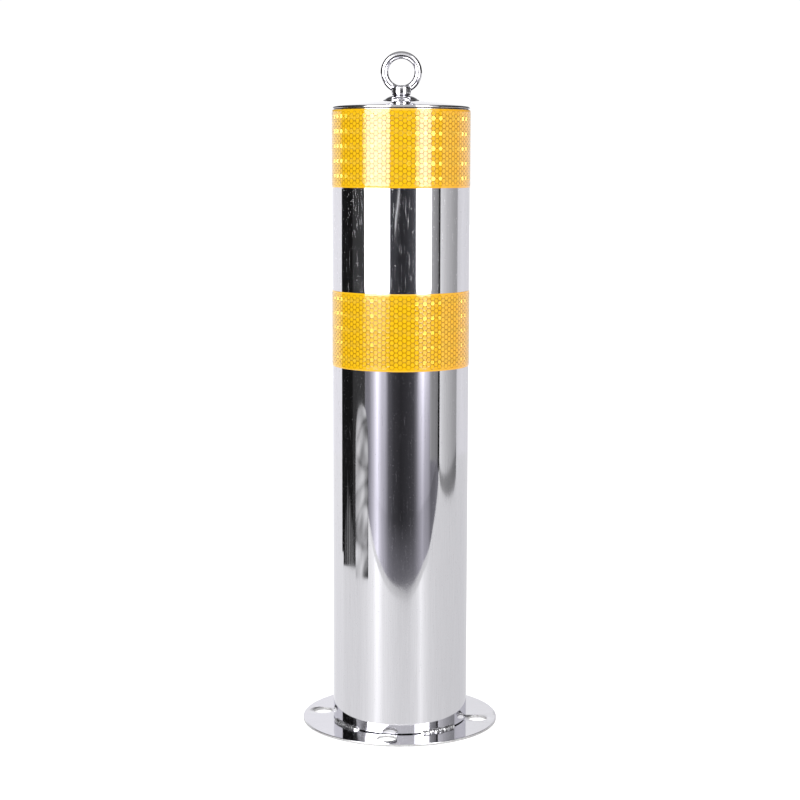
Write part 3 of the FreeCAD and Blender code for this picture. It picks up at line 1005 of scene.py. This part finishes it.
def make_table():
    """Pale table with the softboxes' painted reflections as light pools, painted shade on its rounded front
    edge, and the dark floor beyond with the softboxes' painted reflections in it.
    """
    fan("table_glow", 1 * MM, lambda degrees: 0.03, table_side, (
        (-178, 1.10, 1.13), (-150, 1.05, 1.13), (-117, 1.05, 1.15), (-110, 1.0, 1.0), (-75, 1.0, 1.0),
        (-58, 1.08, 1.12), (-47, 1.25, 1.3), (-41, 1.5, 1.7), (-36, 1.4, 1.6), (-29, 1.15, 1.2),
        (-16, 1.05, 1.05), (0, 0.97, 0.94), (15, 1.0, 0.98), (28, 1.06, 1.1), (35.5, 1.28, 1.38),
        (42, 1.1, 1.15), (52, 0.97, 0.97), (70, 0.92, 0.94), (120, 0.90, 0.94), (150, 0.88, 0.92),
        (178, 0.78, 0.78)))
    fan("table_rim", 1.5 * MM, lambda degrees: table_edge(degrees) - TABLE_ROUNDING, table_edge, (
        (-60, 1.1, 1.1), (-30, 0.95, 0.88), (0, 0.82, 0.66), (30, 0.88, 0.80), (50, 0.95, 0.9)))
    fan("floor_near", 2.5 * MM, table_edge, lambda degrees: table_edge(degrees) + FLOOR_DEPTH, (
        (-66, 0.5, 0.5), (-58, 0.40, 0.36), (-54, 0.42, 0.38), (-47, 0.85, 0.82), (-43, 1.25, 1.2),
        (-39.5, 1.5, 1.35), (-36, 1.1, 1.0), (-32, 0.75, 0.70), (-26, 0.55, 0.45), (-20, 0.34, 0.16),
        (-12, 0.25, 0.065), (0, 0.22, 0.034), (8, 0.22, 0.045), (16, 0.24, 0.065), (22, 0.26, 0.09),
        (27, 0.32, 0.22), (32, 0.46, 0.42), (38, 0.62, 0.66), (42, 0.52, 0.50), (48, 0.46, 0.40),
        (53, 0.24, 0.18), (60, 0.24, 0.18), (68, 0.30, 0.26)), FLOOR_TINT)
    fan("floor_far", 2 * MM, table_edge, lambda degrees: 3.0, (
        (-66, 0.30, 0.30), (-58, 0.30, 0.30), (-54, 0.36, 0.36), (-47, 0.80, 0.90), (-43, 1.15, 1.5),
        (-39.5, 1.3, 2.2), (-36, 1.0, 1.5), (-32, 0.7, 1.0), (-26, 0.45, 0.9), (-20, 0.16, 0.16),
        (-12, 0.065, 0.065), (0, 0.034, 0.034), (8, 0.045, 0.05), (16, 0.065, 0.065), (22, 0.09, 0.11),
        (27, 0.20, 0.40), (32, 0.36, 1.30), (38, 0.55, 2.2), (42, 0.44, 1.4), (48, 0.40, 1.0),
        (53, 0.20, 0.45), (60, 0.24, 0.45), (68, 0.26, 0.30)), FLOOR_TINT)


def make_upper_room():
    """Grey ceiling and upper back, a pale back wall, and dark shades above the post at both sides."""
    card_from(lit(slab((-1.2, -1.2), (1.2, 1.2), 2.3), 0.42), "ceiling")
    panel("dark_above", 2.9, 1.6, 6.0, ((100, 0.26), (260, 0.26)))
    panel("shade_left", SHADE_DISTANCE, 0.53, 1.2, ((-155, 0.07), (-66, 0.05)))
    panel("shade_right", SHADE_DISTANCE, 0.53, 1.2, ((66, 0.05), (155, 0.07)))
    panel("back_wall", 3.0, 0.0, 1.7, ((120, 0.98), (172, 1.02), (188, 1.20), (240, 1.22)))


def make_left_side():
    """Black and grey flags on the left, each on the table, with a crumpled sheet beside them."""
    panel("left_side", 1.4, 0.0, FLAG_TOP, ((-178, 1.15), (-150, 1.15), (-117, 1.18)), WALL_TINT)
    panel("black_flag", 0.67, 0.0, 0.56, ((-118, 0.012), (-88, 0.010)))
    panel("dark_corner", 1.42, FLAG_TOP, CORNER_TOP, ((-122, 0.05), (-63, 0.05)))
    panel("dark_left", 1.42, FLAG_TOP, WALL_TOP, ((-164, 0.10), (-122, 0.06)))
    flag_feet(0.60)
    panel("grey_flag", 0.60, 0.0, 0.55, ((-88.5, 0.045), (-62.5, 0.06)))
    crumpled_paper("side_paper", 0.55, -82.0, -56.0, 0.195)


def make_softboxes():
    """Two softboxes, and the dim room between them with a light's stand."""
    panel("left_softbox", SOFTBOX_DISTANCE, SOFTBOX_FOOT, SOFTBOX_TOP, (
        (-66, 1.0), (-62, 9.0), (-40, 12.0), (-21, 9.0), (-18, 0.9)))
    panel("right_softbox", SOFTBOX_DISTANCE, SOFTBOX_FOOT, SOFTBOX_TOP, (
        (25, 1.0), (28, 6.0), (36, 11.0), (49, 7.0), (55, 0.9)))
    panel("dim_room", 2.6, 0.0, 0.68, (
        (-24, 0.12), (-10, 0.06), (0, 0.035), (8, 0.045), (16, 0.07), (30, 0.15)), ROOM_TINT)
    leaning_strip("light_stand", 2.2, (-10.2, 0.328), (-1.8, 0.411), 0.9, 1.5)


def make_right_side():
    """Grey wall, a dark gap and a pale round screen on the right."""
    panel("grey_wall", 1.35, 0.0, 0.22, ((51, 0.50), (55, 0.36), (60, 0.34), (67, 0.24)))
    panel("upper_wall", 1.34, 0.22, FLAG_TOP, ((52, 0.64), (57, 0.46), (63, 0.32), (67, 0.22)))
    panel("dark_gap", 1.26, 0.0, FLAG_TOP, ((66.0, 0.012), (69.5, 0.012)))
    panel("pale_screen", 1.22, 0.0, FLAG_TOP, (
        (69.5, 1.1), (75, 0.92), (83, 0.74), (92, 0.62), (101, 0.50), (110, 0.46)), bulge=0.17)
    # Dim strip at the screen's foot: a painted shadow.
    panel("screen_foot", 1.215, 0.0, 0.02, ((69.5, 0.34), (110, 0.20)), bulge=0.17, rise=0.03)
    panel("right_side", 1.4, 0.0, FLAG_TOP, ((110, 0.95), (126, 1.06), (150, 0.96), (176, 0.80)), WALL_TINT)
    panel("dim_corner", 1.43, FLAG_TOP, CORNER_TOP, ((62, 0.10), (122, 0.10)))
    panel("dark_right", 1.43, FLAG_TOP, WALL_TOP, ((122, 0.06), (164, 0.10)))


def make_lamps():
    """Two soft lamps at the front, aimed at the middle of the post, for what isn't a mirror."""
    aim = Vector((0, 0, 0.25))
    for name, x, power in (("key", -1.0, 8.5), ("fill", 1.0, 6.6)):
        lamp = bpy.data.lights.new(name, "AREA")
        lamp.shape = "RECTANGLE"
        lamp.size = 1.0
        lamp.size_y = 1.6
        lamp.energy = power
        light = bpy.data.objects.new(name, lamp)
        light.location = (x, -1.3, 1.0)
        light.rotation_euler = (aim - light.location).to_track_quat("-Z", "Y").to_euler()
        light.visible_glossy = False
        light.visible_camera = False
        bpy.context.scene.collection.objects.link(light)


def make_studio():
    make_room()
    make_table()
    make_upper_room()
    make_left_side()
    make_softboxes()
    make_right_side()
    make_lamps()


def make_camera():
    data = bpy.data.cameras.new("camera")
    data.lens = LENS
    data.sensor_width = SENSOR
    camera = bpy.data.objects.new("camera", data)
    camera.location = CAMERA_PLACE
    camera.rotation_euler = (math.pi / 2 - CAMERA_DROP, CAMERA_ROLL, 0)
    bpy.context.scene.collection.objects.link(camera)
    bpy.context.scene.camera = camera


# ---- assembly --------------------------------------------------------------------------

def finish_hidden_nodes(ring, inner, fastener, weld, seal):
    """Materials for the CAD nodes that stay as they are."""
    finishes = {
        # ring, on the spigot ring, is near-black paint: the painted shadow in the gap under the cap
        "cap_spigot_ring": ring, "cap_doubler_plate": inner, "hex_nut": fastener,
        "cap_ring_welds": weld, "doubler_tack_welds": weld, "nut_tack_welds": weld,
        "rosette_seal": seal,
    }
    for name, material in finishes.items():
        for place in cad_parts[name].material_slots:
            place.material = material


tube_steel = polished_steel("tube_steel", (1, 1, 0.025), 0.03 * MM, (0.03, 0.09), 0.30)
flange_steel = polished_steel("flange_steel", (0.25, 1, 1), 0.008 * MM, (0.03, 0.09))
cap_steel = polished_steel("cap_steel", (1, 1, 1), 0.003 * MM, (0.05, 0.10))
eye_steel = polished_steel("eye_steel", (1, 1, 1), 0.0, (0.09, 0.14))
welds = weld_metal()
film = reflective_film()

make_tube(tube_steel)
make_flange(flange_steel, cut_steel())
make_weld_beads(welds)
for band in ("upper_reflective_band", "lower_reflective_band"):
    make_band(band, film)
make_cap(cap_steel)
make_rosette(eye_steel)
make_eye(eye_steel)
finish_hidden_nodes(
    # The spigot ring is painted near black: a painted shadow in the gap under the cap.
    mill_steel("cap_joint_painted_shadow", tone=JOINT_SHADOW_BLACK, wear_and_shade_tone=JOINT_SHADOW_MOTTLE),
    mill_steel("inner_steel"),
    mill_steel("fastener_steel", 500.0),
    welds,
    rubber(),
)
make_studio()
make_camera()
